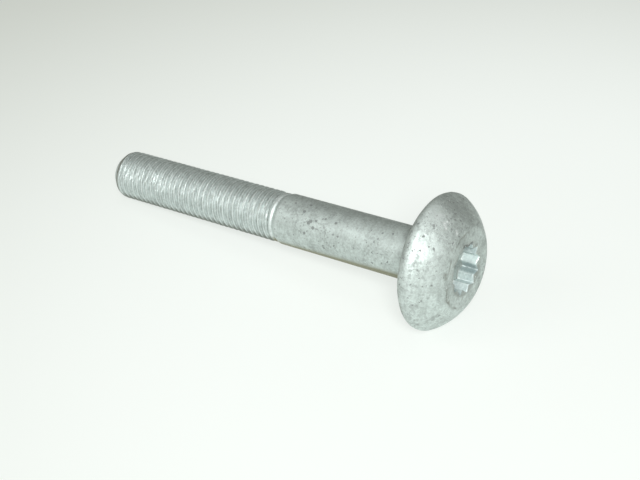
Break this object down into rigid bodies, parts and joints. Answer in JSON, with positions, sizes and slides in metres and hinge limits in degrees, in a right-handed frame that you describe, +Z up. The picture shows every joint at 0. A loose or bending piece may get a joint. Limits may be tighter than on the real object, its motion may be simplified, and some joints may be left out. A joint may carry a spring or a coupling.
{
  "type": "control arm bolt",
  "caption": "Mushroom-head bolt with a twelve-point drive socket, plain shank and long metric thread, for clamping a suspension control arm.",
  "frame": {"origin": "centre of the bounding box's bottom face, on the surface that the bolt lies on", "axes": "+X along the bolt from the thread to the head, with the bolt's own axis rising 6.1 degrees towards the head because the head is wider than the thread; +Z up"},
  "size_m": [0.0984, 0.0304, 0.0304],
  "materials": {
    "zinc_flake": "steel with a silver-grey zinc-flake coating, matt-metallic, with fine dark specks"
  },
  "bodies": {
    "root": {"control_arm_bolt": "zinc_flake"}
  },
  "joints": []
}
